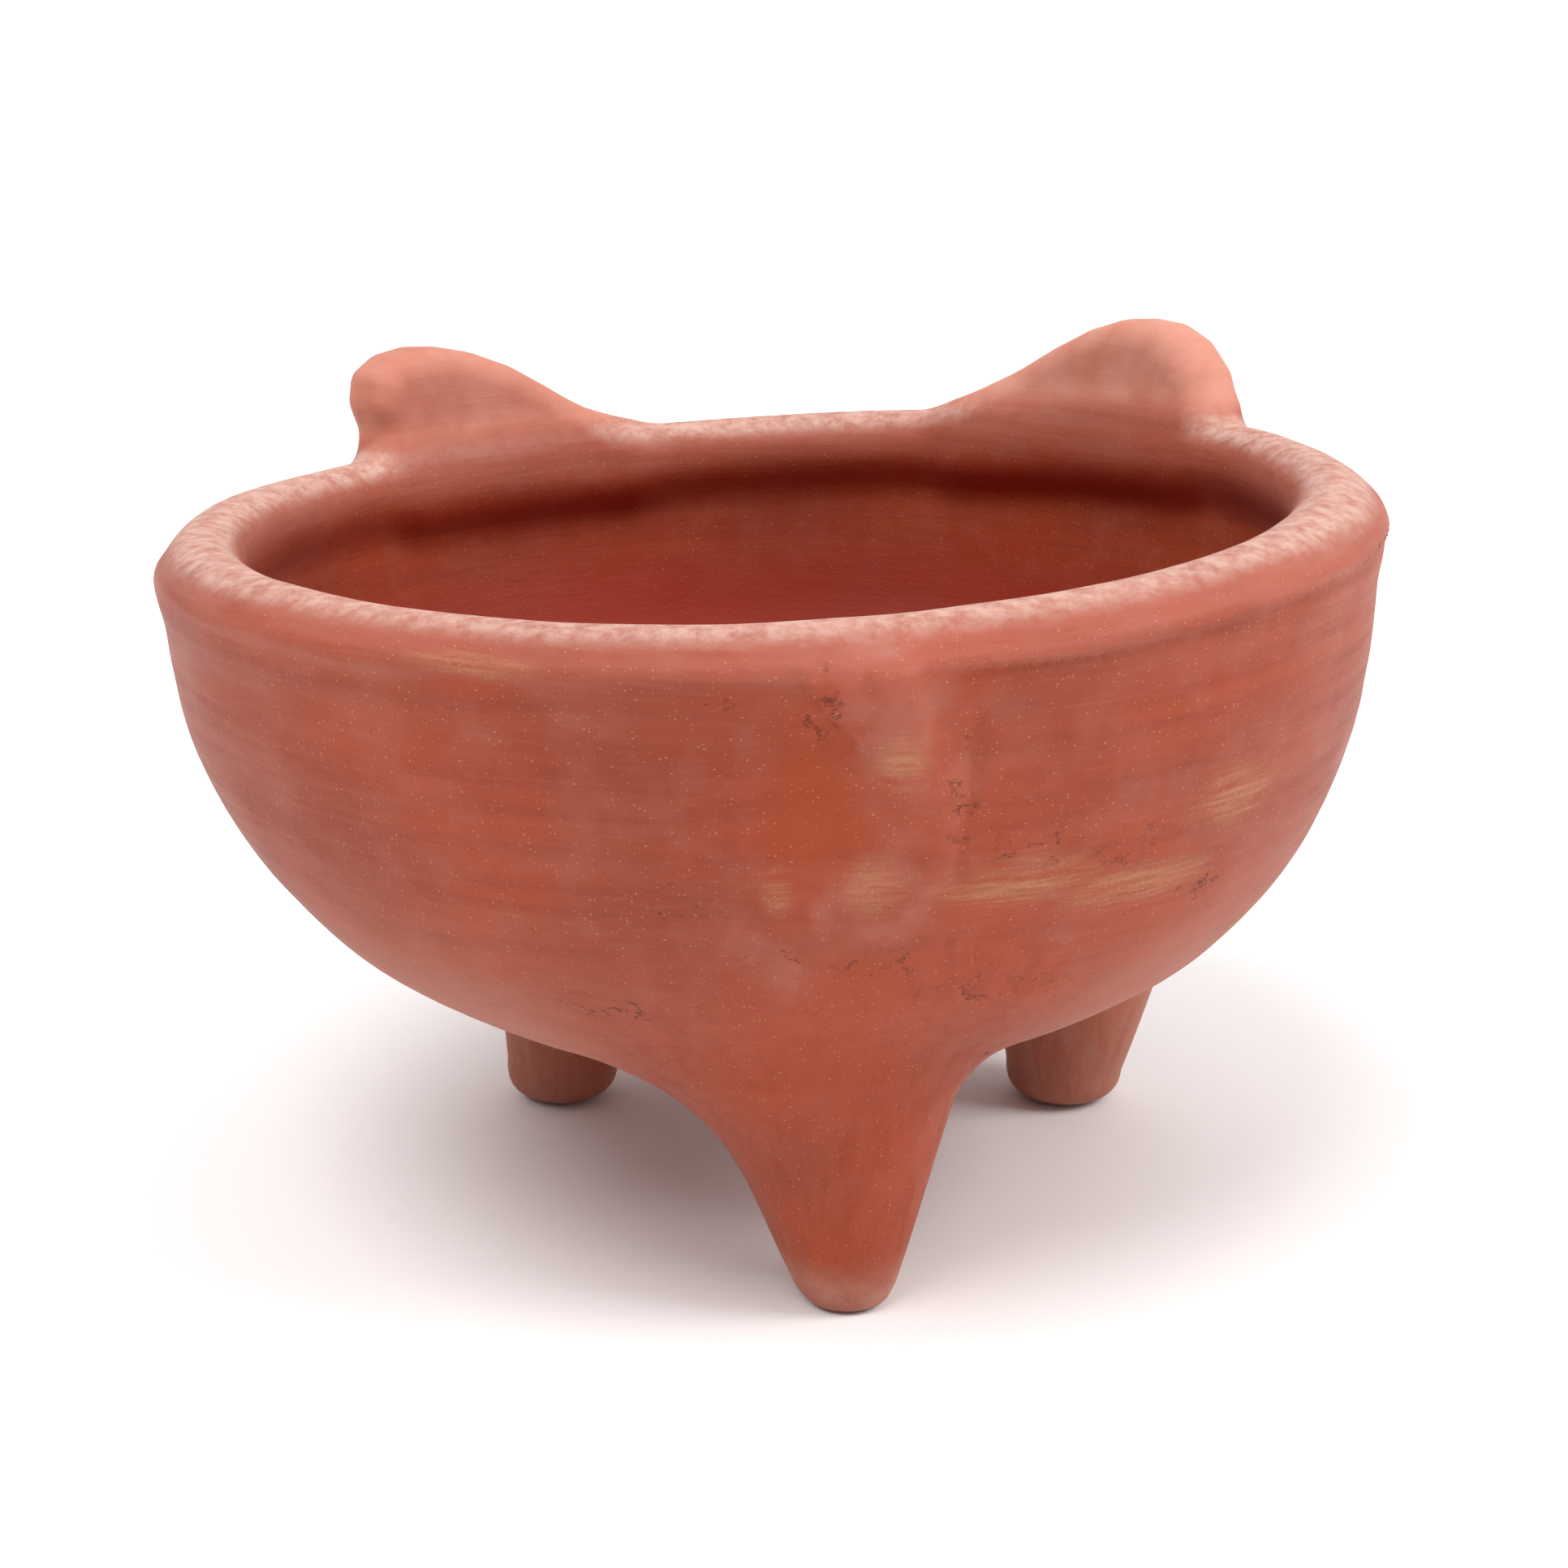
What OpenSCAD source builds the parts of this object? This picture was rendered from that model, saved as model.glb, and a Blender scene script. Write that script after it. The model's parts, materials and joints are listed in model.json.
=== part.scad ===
// Hand-built clay molcajete: a round bowl of stacked coils on three cone legs,
// with two ears on the rim and a curled tail strip on the front wall.
// Millimetres, +Z up. The bowl's axis is at the origin and the feet stand on z = 0.
// The tail side faces -Y and the ears stand at the back, towards +Y.

/* [Bowl] */
// Largest outer radius of the bowl
bowl_r = 65.8; // [60:0.1:70]
// Height of the underside above the table
base_z = 18.3; // [17:0.1:20]
// Height where the outline of the bowl would become upright
shoulder_z = 80.4; // [78:0.2:84]
// Thickness of the wall
wall_t = 6.9; // [6:0.1:7.5]
// Thickness of the floor
floor_t = 8; // [7:0.5:9]
// Sideways lean of the whole bowl, in degrees
bowl_lean = 1.3; // [0:0.1:2]

/* [Coils] */
// Height of the outer seam between the base and the lower coil
base_top = 33; // [32:0.5:35]
// Height of one wall coil on the outside
coil_h = 12; // [11.5:0.5:12.5]
// How far each seam climbs from the outside of the wall to the inside
seam_rise = 2.5; // [1:0.5:3]

/* [Rim] */
// Half the thickness of the rim coil
lip_r = 4.4; // [4:0.1:4.5]
// Height of the rim coil's centre
rim_z = 72.3; // [71.5:0.1:73]
// How far the right side of the rim is raised, in degrees
rim_side_tilt = 2.8; // [1.5:0.1:3]
// How far the front of the rim is raised, in degrees
rim_front_tilt = 1.2; // [0:0.1:2]

/* [Legs] */
// Distance of each foot from the middle of the three
foot_circle_r = 35.3; // [33:0.5:37]
// Sideways offset of the three feet from the bowl's axis
foot_shift = 6.6; // [0:0.2:7]
// Half the opening angle of the front leg's cone, in degrees
front_spread = 20; // [16:1:22]
// Half the opening angle of the back legs' cones, in degrees
back_spread = 19; // [16:1:22]
// Radius of the ball of soft clay round each leg's root
collar_r = 23; // [21:0.5:24]

/* [Ears] */
// Thickness of each ear
ear_t = 8; // [7:0.5:9]
// How far each ear leans out, in degrees
ear_lean = 14; // [8:1:20]
// Radius of the sleeve of soft clay round the rim under each ear
sleeve_r = 5.6; // [5:0.1:6]

/* [Tail] */
// How far the tail strip stands out of the wall
tail_relief = 2; // [1.5:0.1:2.4]

/* [Hidden] */

clay = [0.68, 0.30, 0.20];      // burnished wall
rim_clay = [0.76, 0.42, 0.35];  // rim and ears, rubbed paler
leg_clay = [0.62, 0.27, 0.18];  // legs, less burnished
wad_clay = [0.70, 0.34, 0.24];  // soft clay pressed into the joints

round_fn = 96;        // smoothness of the bowl
small_fn = 64;        // and of the smaller round pieces
fullness = 3;         // exponent of the bowl's outline along its height
roundness = 2.23;     // root of the bowl's outline along its radius
base_steps = 8;       // cones that make up the base's outline
base_ease = 2;        // how closely they crowd together at the bottom
coil_steps = 2;       // cones that make up one coil's outline
tiny = 0.01;          // keeps the outline's lowest point off the axis
cavity_r = bowl_r - wall_t;
cavity_z = base_z + floor_t;
seam_1 = base_top;
seam_2 = seam_1 + coil_h;
seam_3 = seam_2 + coil_h;
rim_r = bowl_r - lip_r - 0.2; // centre line of the rim coil, just inside the wall's outside
wall_top = rim_z + 3; // the upper coil is trimmed below this by the rim's seam
lip_seam_out = -3;    // height of the rim's seam in its own frame, outside
lip_seam_in = -1;     // and inside
lip_hook = 1.6;       // how far the lip's roll hangs over the inside of its neck
neck_r = rim_r - lip_r + lip_hook; // inside of the neck
toe_steps = 6;        // cones that round a foot's edge
leg_top = 32;         // where a leg's cone ends, inside the bowl or its collar
collar_pull = 0.94;   // how far out a collar's ball stands, as a part of the foot's distance
collar_sink = 13;     // height of that ball's centre above the bowl's skin over the foot
ear_lobe_w = 14;      // width of an ear's largest lobe
sleeve_z = 1;         // height of a sleeve's centre above the rim's

// Each leg is [its angle round the bowl, its flat's radius, its toe's rounding, its spread].
front = [-90, 3.4, 2.2, front_spread];
left = [150, 3.4, 4, back_spread];
right = [30, 3, 4.4, back_spread];

// Each ear is hulled from lobes: [angle round the rim, height above the rim's centre, radius].
left_lobes = [[111, 1, 4.5], [131, 9.8, 7], [136, 9, 6.6], [138.5, 1, 6.5]];
right_lobes = [[62, 1, 4.5], [43, 9.3, 7], [36, 8.2, 6.6], [35, 1, 6.5]];
left_sleeve = [103, 149]; // the angles between which soft clay wraps the rim
right_sleeve = [26, 70];

// The tail's dabs: [angle from the front towards +X, height, radius of the ball].
tail_dabs = [
  [7.5, 65.5, 15], [9.5, 61, 13], [11, 56.5, 11], [11.5, 52, 9.5],
  [11, 47.5, 8.5], [9, 43.5, 7.5], [6, 40.3, 6.5], [2.5, 38.2, 5.5]
];

// Where a leg's foot stands on the table.
function foot_at(leg) =
  [foot_shift + foot_circle_r * cos(leg[0]), foot_circle_r * sin(leg[0]), 0];

// Radius at height z of an outline that is r wide at the shoulder and closes at z = low.
function outline_r(z, r, low) =
  r * pow(1 - pow((shoulder_z - z) / (shoulder_z - low), fullness), 1 / roundness);

// Height of the bowl's skin at a distance r from its axis.
function skin_z(r) =
  shoulder_z - (shoulder_z - base_z) * pow(1 - pow(r / bowl_r, roundness), 1 / fullness);

// Heights from a to b. An ease above 1 brings them closer together near a.
function heights(a, b, n, ease) = [for (i = [0:n]) a + (b - a) * pow(i / n, ease)];

// Points up the outside of the bowl from height a to height b.
function outer(a, b, n = coil_steps, ease = 1) =
  [for (z = heights(a, b, n, ease)) [outline_r(z, bowl_r, base_z), z]];

// Points up the inside of the bowl from height a to height b.
function inner(a, b, n = coil_steps, ease = 1) =
  [for (z = heights(a, b, n, ease)) [outline_r(z, cavity_r, cavity_z), z]];

function base_outer() = outer(base_z + tiny, seam_1, base_steps, base_ease);
function base_inner() = inner(cavity_z + tiny, seam_1 + seam_rise, base_steps, base_ease);

function reversed(list) = [for (i = [len(list) - 1:-1:0]) list[i]];

// The bowl leans a little to one side as a whole, about an axis at the rim's height.
module leaning() {
  translate([0, 0, rim_z]) rotate([0, -bowl_lean, 0]) translate([0, 0, -rim_z]) children();
}

// The rim is out of level both ways.
module on_rim_plane() {
  translate([0, 0, rim_z]) rotate([-rim_front_tilt, -rim_side_tilt, 0]) children();
}

// One ring of wall between two sloping seams, given by their outer heights.
module wall_ring(low, high) {
  rotate_extrude($fn = round_fn)
    polygon(concat(outer(low, high), reversed(inner(low + seam_rise, high + seam_rise))));
}

// The whole bowl below the rim with its hollow filled, to trim what is pressed on it.
module solid_bowl() {
  leaning() rotate_extrude($fn = round_fn)
    polygon(concat(
      [[0, wall_top], [0, base_z]],
      base_outer(),
      outer(seam_1, seam_2),
      outer(seam_2, seam_3),
      outer(seam_3, wall_top)
    ));
}

// The space above the rim's seam, in the rim's frame.
module above_rim_seam() {
  on_rim_plane() rotate_extrude($fn = round_fn)
    polygon([
      [neck_r - 20, 20], [neck_r - 20, lip_seam_in], [neck_r, lip_seam_in],
      [rim_r + lip_r, lip_seam_out], [rim_r + 20, lip_seam_out], [rim_r + 20, 20]
    ]);
}

// The rim's section: a round lip on a short upright neck that sits on the seam.
module lip_section() {
  difference() {
    union() {
      translate([rim_r, 0]) circle(lip_r, $fn = 48);
      translate([neck_r, lip_seam_out]) square([rim_r + lip_r - neck_r, -lip_seam_out]);
    }
    polygon([
      [rim_r - 10, lip_seam_in], [neck_r, lip_seam_in],
      [rim_r + lip_r, lip_seam_out], [rim_r + 10, lip_seam_out],
      [rim_r + 10, -10], [rim_r - 10, -10]
    ]);
  }
}

module bowl_base() {
  color(clay) leaning() rotate_extrude($fn = round_fn)
    polygon(concat([[0, base_z]], base_outer(), reversed(base_inner()), [[0, cavity_z]]));
}

module lower_wall_coil() {
  color(clay) leaning() wall_ring(seam_1, seam_2);
}

module middle_wall_coil() {
  color(clay) leaning() wall_ring(seam_2, seam_3);
}

module upper_wall_coil() {
  color(clay) difference() {
    leaning() wall_ring(seam_3, wall_top);
    above_rim_seam();
  }
}

module rim_coil() {
  color(rim_clay) on_rim_plane() rotate_extrude($fn = round_fn) lip_section();
}

// A leg before it is pressed on: a flat foot, a rounded toe and a spreading cone.
module leg_shape(leg) {
  flat_r = leg[1];
  toe_r = leg[2];
  spread = leg[3];
  shaft_r = flat_r + toe_r * cos(spread);
  shaft_z = toe_r - toe_r * sin(spread);
  translate(foot_at(leg)) rotate_extrude($fn = small_fn)
    polygon(concat(
      [[0, 0]],
      [for (i = [0:toe_steps]) let (a = -90 + (90 - spread) * i / toe_steps)
        [flat_r + toe_r * cos(a), toe_r + toe_r * sin(a)]],
      [[shaft_r + (leg_top - shaft_z) * tan(spread), leg_top], [0, leg_top]]
    ));
}

module leg(leg) {
  color(leg_clay) difference() {
    leg_shape(leg);
    solid_bowl();
  }
}

// Soft clay pressed round a leg's root: a ball, of which the bowl leaves only the lower part.
module collar_ball(leg) {
  foot = foot_at(leg);
  translate([foot[0] * collar_pull, foot[1] * collar_pull, skin_z(norm(foot)) + collar_sink])
    sphere(collar_r, $fn = small_fn);
}

module leg_collar(leg) {
  color(wad_clay) difference() {
    collar_ball(leg);
    solid_bowl();
    leg_shape(leg);
  }
}

module front_leg() {
  leg(front);
}

module left_leg() {
  leg(left);
}

module right_leg() {
  leg(right);
}

module front_leg_collar() {
  leg_collar(front);
}

module left_leg_collar() {
  leg_collar(left);
}

module right_leg_collar() {
  leg_collar(right);
}

// One flattened lobe of an ear.
module ear_lobe(lobe) {
  on_rim_plane() rotate([0, 0, lobe[0]])
    translate([rim_r + lobe[1] * tan(ear_lean), 0, lobe[1]]) rotate([0, ear_lean, 0])
      scale([ear_t / ear_lobe_w, 1, 1]) sphere(lobe[2], $fn = 24);
}

module ear_shape(lobes) {
  hull() {
    for (lobe = lobes) ear_lobe(lobe);
  }
}

module ear(lobes) {
  color(rim_clay) difference() {
    ear_shape(lobes);
    rim_coil();
  }
}

// Soft clay wrapped round the rim and the root of an ear.
module ear_wad(lobes, sleeve) {
  color(wad_clay) difference() {
    on_rim_plane() rotate([0, 0, sleeve[0]])
      rotate_extrude(angle = sleeve[1] - sleeve[0], $fn = round_fn)
        translate([rim_r, sleeve_z]) circle(sleeve_r, $fn = 48);
    ear_shape(lobes);
    rim_coil();
    upper_wall_coil();
  }
}

module left_ear() {
  ear(left_lobes);
}

module right_ear() {
  ear(right_lobes);
}

module left_ear_wad() {
  ear_wad(left_lobes, left_sleeve);
}

module right_ear_wad() {
  ear_wad(right_lobes, right_sleeve);
}

// One thumbed dab of the tail: the cap of a ball sunk in the wall.
module tail_dab(dab) {
  rotate([0, 0, -90 + dab[0]])
    translate([outline_r(dab[1], bowl_r, base_z) - dab[2] + tail_relief, 0, dab[1]])
      sphere(dab[2], $fn = small_fn);
}

// The tail is thumbed on dab by dab from the rim down, and curls to the left at its lower end.
module tail_strip() {
  color(clay) difference() {
    leaning() union() {
      for (dab = tail_dabs) tail_dab(dab);
    }
    solid_bowl();
    rim_coil();
    collar_ball(front);
    translate([0, 0, wall_top - 10]) cylinder(r = rim_r, h = 20, $fn = round_fn);
  }
}

bowl_base();
lower_wall_coil();
middle_wall_coil();
upper_wall_coil();
rim_coil();
front_leg();
left_leg();
right_leg();
front_leg_collar();
left_leg_collar();
right_leg_collar();
left_ear();
right_ear();
left_ear_wad();
right_ear_wad();
tail_strip();
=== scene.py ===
# %% [markdown]
# # A three-legged clay grinding bowl
# This lesson models a small hand-built bowl: coils of red clay on a rounded bottom, three stubby legs, two
# ears on the rim and a curled strip like a tail on the front. The whole skin is described first, as one
# distance field of soft clay. Each separate piece is then cut out of that clay and meshed on its own.

# %% Load the frame
import json
import math
from concurrent.futures import ThreadPoolExecutor

import bpy
import numpy as np
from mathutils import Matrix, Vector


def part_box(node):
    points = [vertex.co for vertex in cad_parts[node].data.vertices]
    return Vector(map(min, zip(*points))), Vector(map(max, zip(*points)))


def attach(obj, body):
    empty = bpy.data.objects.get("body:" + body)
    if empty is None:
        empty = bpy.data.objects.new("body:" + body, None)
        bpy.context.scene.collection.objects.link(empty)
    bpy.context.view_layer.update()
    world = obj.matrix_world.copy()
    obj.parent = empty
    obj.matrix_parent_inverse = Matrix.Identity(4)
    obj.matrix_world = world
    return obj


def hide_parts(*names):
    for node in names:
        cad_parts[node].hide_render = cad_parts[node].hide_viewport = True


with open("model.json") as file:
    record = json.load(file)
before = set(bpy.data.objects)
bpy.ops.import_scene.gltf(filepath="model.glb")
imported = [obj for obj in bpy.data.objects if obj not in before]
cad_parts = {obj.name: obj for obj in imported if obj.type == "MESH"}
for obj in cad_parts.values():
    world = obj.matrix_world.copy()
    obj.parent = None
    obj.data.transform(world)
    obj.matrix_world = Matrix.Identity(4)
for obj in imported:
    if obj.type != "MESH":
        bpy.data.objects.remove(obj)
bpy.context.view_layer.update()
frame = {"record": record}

# %% [markdown]
# ## Units and the sizes that come from the frame
# A potter thinks in millimetres, so the clay is shaped in millimetres and turned into metres only when a
# mesh is made. The bowl's width, height, feet and seams are read from the frame, so the pieces always fit.

# %% Sizes of the bowl
MM = 0.001


def node_box(node):
    """Lowest and highest corner of a frame node, in millimetres."""
    lo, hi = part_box(node)
    return np.array(lo) / MM, np.array(hi) / MM


rim_lo, rim_hi = node_box("rim_coil")
coil_lo, coil_hi = node_box("upper_wall_coil")
base_lo, base_hi = node_box("bowl_base")

HAND_PLAY = 0.75
wall_radius = (coil_hi[0] - coil_lo[0]) / 2 - HAND_PLAY
bottom_z = base_lo[2]
shoulder_z = bottom_z + 62.1
wall_thick = 6.9
floor_thick = 8.0
lip_radius = 4.3
rim_radius = wall_radius - 4.55
# How much the rim rises towards the right and towards the front, measured from its middle.
RIM_RISE_RIGHT = 2.95
RIM_RISE_FRONT = 1.28
rim_tilt = math.hypot(RIM_RISE_RIGHT, RIM_RISE_FRONT)
rim_z = rim_hi[2] - lip_radius - rim_tilt - 0.1
axis_x = (rim_lo[0] + rim_hi[0]) / 2
LEAN = 0.0232
print(f"wall radius {wall_radius:.1f} mm, rim centre {rim_z:.1f} mm up, bottom {bottom_z:.1f} mm up")

# %% [markdown]
# ## Camera, floor and light
# The bowl stands on a pale floor. The sky is dim in front and on the left, bright behind and on the right,
# and two broad soft lamps are added. The camera looks down from a little above the rim, so that the inside
# can be seen.

# %% Camera
def aim_camera():
    camera = bpy.data.objects.new("camera", bpy.data.cameras.new("camera"))
    camera.data.sensor_width = 36.0
    camera.data.lens = 65.8
    camera.data.clip_start = 0.01
    camera.data.clip_end = 50.0
    look_down = 0.296
    turn_right = 0.007
    camera.location = (0.0, -0.303, 0.1366)
    camera.rotation_euler = (math.pi / 2 - look_down, 0.0, -turn_right)
    bpy.context.scene.collection.objects.link(camera)
    bpy.context.scene.camera = camera
    return camera


camera = aim_camera()
print("camera", round(camera.data.lens, 1), "mm lens at", tuple(round(v, 3) for v in camera.location))


# %% Node helpers
class Recipe:
    """A short way to write a material's or a world's node graph."""

    def __init__(self, tree):
        self.tree = tree
        self.nodes = tree.nodes
        self.links = tree.links

    def put(self, socket, value):
        if isinstance(value, bpy.types.NodeSocket):
            self.links.new(value, socket)
        else:
            socket.default_value = value

    def node(self, kind, **settings):
        made = self.nodes.new("ShaderNode" + kind)
        for key, value in settings.items():
            setattr(made, key, value)
        return made

    def math(self, operation, a, b=0.0, clamp=False):
        made = self.node("Math", operation=operation, use_clamp=clamp)
        self.put(made.inputs[0], a)
        self.put(made.inputs[1], b)
        return made.outputs[0]

    def times(self, a, b, clamp=False):
        return self.math("MULTIPLY", a, b, clamp)

    def stretch(self, where, by):
        made = self.node("VectorMath", operation="MULTIPLY")
        self.put(made.inputs[0], where)
        self.put(made.inputs[1], by)
        return made.outputs[0]

    def parts(self, vector):
        made = self.node("SeparateXYZ")
        self.put(made.inputs[0], vector)
        return made.outputs

    def fade(self, value, start, end, low=0.0, high=1.0):
        """low up to start, high beyond end, and an even ramp between them."""
        made = self.node("MapRange", clamp=True)
        self.put(made.inputs["Value"], value)
        self.put(made.inputs["From Min"], start)
        self.put(made.inputs["From Max"], end)
        self.put(made.inputs["To Min"], low)
        self.put(made.inputs["To Max"], high)
        return made.outputs["Result"]

    def mix(self, amount, a, b, blend="MIX"):
        made = self.node("Mix", data_type="RGBA", blend_type=blend)
        self.put(made.inputs["Factor"], amount)
        self.put(made.inputs[6], a)
        self.put(made.inputs[7], b)
        return made.outputs[2]

    def noise(self, where, scale, detail=3.0, rough=0.55):
        made = self.node("TexNoise")
        self.put(made.inputs["Vector"], where)
        made.inputs["Scale"].default_value = scale
        made.inputs["Detail"].default_value = detail
        made.inputs["Roughness"].default_value = rough
        return made.outputs["Fac"]

    def cells(self, where, scale):
        made = self.node("TexVoronoi", feature="F1")
        self.put(made.inputs["Vector"], where)
        made.inputs["Scale"].default_value = scale
        return made.outputs

    def painted(self, name):
        """A value that was painted on the mesh, point by point."""
        made = self.node("Attribute", attribute_name=name)
        return made.outputs["Fac"]


# %% Floor
def lay_floor(half_width=14.0):
    mesh = bpy.data.meshes.new("floor")
    corners = [(-1, -1), (1, -1), (1, 1), (-1, 1)]
    points = [(x * half_width, y * half_width, 0.0) for x, y in corners]
    mesh.from_pydata(points, [], [(0, 1, 2, 3)])
    floor = bpy.data.objects.new("floor", mesh)
    bpy.context.scene.collection.objects.link(floor)
    material = bpy.data.materials.new("white_card")
    material.use_nodes = True
    recipe = Recipe(material.node_tree)
    shader = recipe.nodes["Principled BSDF"]
    where = recipe.node("TexCoord").outputs["Object"]
    fibre = recipe.noise(where, 900.0, detail=2.0)
    tone = recipe.mix(fibre, (0.87, 0.876, 0.886, 1), (0.885, 0.891, 0.901, 1))
    recipe.put(shader.inputs["Base Color"], tone)
    shader.inputs["Roughness"].default_value = 0.85
    shader.inputs["Specular IOR Level"].default_value = 0.2
    mesh.materials.append(material)


lay_floor()

# %% Light
# How strong the sky is near the floor, on its dim and its bright side, and then half-way up and overhead.
SKY_DIM = 0.03
SKY_BRIGHT = 1.2
SKY_MIDDLE = 0.4
SKY_TOP = 1.25
# The camera never sees the sky dimmer than this. It changes what is seen behind the bowl, not its light.
SKY_SEEN = 1.0
# Soft lamps: power, degrees round from the camera towards the right, degrees above the floor, spread.
LAMPS = {"right_lamp": (1.6, 78, 40, 28), "left_lamp": (1.95, -42, 60, 38)}


def hang_lights():
    """A sky that is dim in front and bright behind and on the right, and two broad soft lamps."""
    scene = bpy.context.scene
    world = bpy.data.worlds.new("studio")
    world.use_nodes = True
    scene.world = world
    recipe = Recipe(world.node_tree)
    background = recipe.nodes["Background"]
    where = recipe.node("TexCoord").outputs["Generated"]
    x, y, z = recipe.parts(where)
    behind = recipe.times(y, 0.75)
    beside = recipe.times(x, 0.65)
    walls = recipe.fade(recipe.math("ADD", behind, beside), -0.6, 0.6, SKY_DIM, SKY_BRIGHT)
    height = recipe.fade(z, 0.16, 0.42)
    ceiling = recipe.fade(z, 0.5, 0.85, SKY_MIDDLE, SKY_TOP)
    span = recipe.math("SUBTRACT", ceiling, walls)
    strength = recipe.math("ADD", walls, recipe.times(span, height))
    seen = recipe.node("LightPath").outputs["Is Camera Ray"]
    strength = recipe.math("MAXIMUM", strength, recipe.times(seen, SKY_SEEN))
    recipe.put(background.inputs["Strength"], strength)
    background.inputs["Color"].default_value = (1.0, 0.99, 0.985, 1)
    for name, (power, round_by, up_by, spread) in LAMPS.items():
        lamp = bpy.data.lights.new(name, "SUN")
        lamp.energy = power
        lamp.angle = math.radians(spread)
        lamp.color = (1.0, 0.985, 0.965)
        holder = bpy.data.objects.new(name, lamp)
        holder.rotation_euler = (math.radians(90 - up_by), 0.0, math.radians(round_by))
        scene.collection.objects.link(holder)
    scene.view_settings.view_transform = "Standard"
    scene.view_settings.look = "None"


hang_lights()
print("floor and lights are up")

# %% [markdown]
# ## Soft clay as a distance field
# Wet clay has no sharp joins: a leg pressed on a bowl flows into it. A distance field tells how far each
# point is from the surface, negative inside, and two fields can be joined with a soft step that copies
# the thumb's smear. The helpers below are the thumb, the roll of clay and the unevenness of the hand.

# %% The thumb and the roll
def smear(a, b, reach):
    """Joins two clay bodies with a rounded corner that reaches this far on each of them."""
    overlap = np.maximum(reach - np.abs(a - b), 0.0)
    return np.minimum(a, b) - overlap * overlap / (4.0 * reach)


def trim(a, b, reach):
    """Keeps what is inside both, with the edge rounded off over this reach."""
    return -smear(-a, -b, reach)


def ease(value, start, end):
    """0 before start, 1 after end, and a soft S between them."""
    t = np.clip((value - start) / (end - start), 0.0, 1.0)
    return t * t * (3.0 - 2.0 * t)


def roll(p, a, b, radius_a, radius_b):
    """Distance to a tapered roll of clay from a to b, for points in space or on a flat drawing."""
    a = np.asarray(a, float)
    along = np.asarray(b, float) - a
    t = np.clip((p - a) @ along / (along @ along), 0.0, 1.0)
    gap = p - a - t[:, None] * along
    return np.sqrt((gap * gap).sum(axis=1)) - (radius_a + (radius_b - radius_a) * t)


# %% The unevenness of the hand
LATTICE = 32


def lump_maker(seed, size):
    """A smooth random height between -1 and 1, with bumps about one size apart in each direction."""
    lattice = np.random.default_rng(seed).uniform(-1, 1, (LATTICE, LATTICE, LATTICE))
    size = np.asarray(size, float)

    def lumps(p):
        q = p / size + 0.37
        cell = np.floor(q).astype(int)
        f = q - cell
        f = f * f * f * (f * (6.0 * f - 15.0) + 10.0)
        total = np.zeros(len(p))
        for corner in range(8):
            step = np.array([corner & 1, corner >> 1 & 1, corner >> 2 & 1])
            i = (cell + step) % LATTICE
            weight = np.where(step, f, 1.0 - f).prod(axis=1)
            total += weight * lattice[i[:, 0], i[:, 1], i[:, 2]]
        return total

    return lumps


broad_lumps = lump_maker(11, (17, 17, 15))
thumb_lumps = lump_maker(12, (7.5, 7.5, 6.5))
burnish_dips = lump_maker(13, (30, 30, 3.4))
burnish_lines = lump_maker(14, (22, 22, 1.25))
upright_dips = lump_maker(15, (3.2, 3.2, 13))
skin_grain = lump_maker(16, (1.6, 1.6, 1.2))

# %% [markdown]
# ## The wall and the floor
# The bowl is turned by eye, not on a wheel, but its profile is still one smooth curve outside and another
# inside. Both are drawn once in a flat table of distances, from the middle outwards and from the bottom
# up, and the table is read at any point round the bowl. The whole bowl leans slightly to one side.

# %% The profile table
PROFILE_POWER = 1 / 2.23
TABLE_STEP = 0.25
TABLE_R = np.arange(0.0, 78.0, TABLE_STEP)
TABLE_Z = np.arange(10.0, 96.0, TABLE_STEP)


def profile_radius(z, radius, bottom):
    """Radius of the bowl's curve at height z, for a curve that closes at the bottom."""
    depth = np.clip((shoulder_z - z) / (shoulder_z - bottom), 0.0, 1.0)
    return radius * (1.0 - depth ** 3) ** PROFILE_POWER


def outer_radius(place):
    """The wall's outer radius at the height of each point."""
    return profile_radius(place.z, wall_radius, bottom_z)


def draw_profile(radius, bottom, count=220):
    """Points along the curve, closer together near the bottom, and straight up above the shoulder."""
    turn = np.linspace(0.0, math.pi / 2, count)
    z = shoulder_z - (shoulder_z - bottom) * np.cos(turn)
    line = np.stack([profile_radius(z, radius, bottom), z], axis=1)
    return np.vstack([line, [[radius, 120.0]]])


def distance_to_line(points, line):
    """Distance to the nearest stretch of a line, on a flat drawing."""
    best = np.full(len(points), 1e9)
    for a, b in zip(line[:-1], line[1:]):
        best = np.minimum(best, roll(points, a, b, 0.0, 0.0))
    return best


def profile_table():
    """Distances to the outer and the inner curve, negative within each."""
    r, z = np.meshgrid(TABLE_R, TABLE_Z, indexing="ij")
    points = np.stack([r.ravel(), z.ravel()], axis=1)
    table = []
    inner_bottom = bottom_z + floor_thick
    for radius, bottom in ((wall_radius, bottom_z), (wall_radius - wall_thick, inner_bottom)):
        distance = distance_to_line(points, draw_profile(radius, bottom))
        within = (points[:, 0] < profile_radius(points[:, 1], radius, bottom)) & (points[:, 1] > bottom)
        table.append(np.where(within, -distance, distance).reshape(r.shape))
    return table


outer_table, inner_table = profile_table()
print("profile tables", outer_table.shape)


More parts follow.
